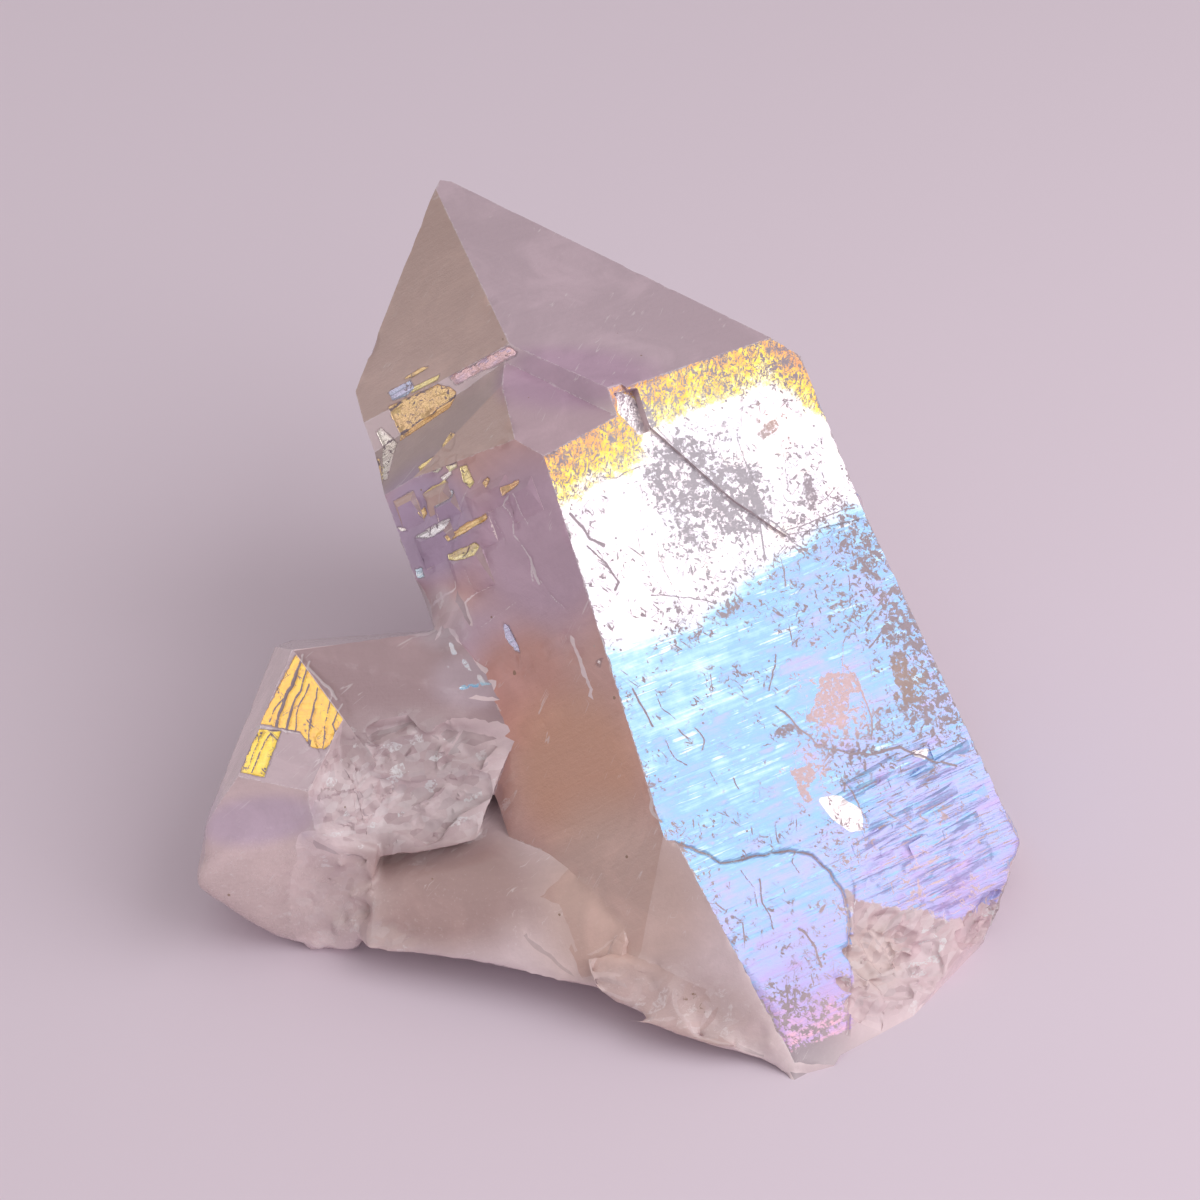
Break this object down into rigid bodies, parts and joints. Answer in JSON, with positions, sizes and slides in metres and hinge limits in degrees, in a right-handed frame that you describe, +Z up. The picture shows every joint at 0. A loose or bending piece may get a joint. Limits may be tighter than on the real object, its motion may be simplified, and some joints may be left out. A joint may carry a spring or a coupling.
{
  "type": "angel aura quartz cluster",
  "caption": "Grown-together quartz cluster, a large leaning point with a short side crystal on a broken base, metal-vapour aura coat; rests on a flat cut face as a display mineral.",
  "frame": {"origin": "middle of the bounding box at the flat face it rests on", "axes": "+Z up, +X to the right and +Y away seen from the front, where the coated face, the side crystal and the toe show; the large point leans back and to the left"},
  "size_m": [0.0606, 0.0628, 0.0351],
  "materials": {
    "quartz": "milky to clear quartz with a thin iridescent aura coat: glossy flat faces, gold, white, blue and lilac on the lit face, rough glassy breaks"
  },
  "bodies": {
    "root": {"quartz_cluster": "quartz"}
  },
  "joints": []
}
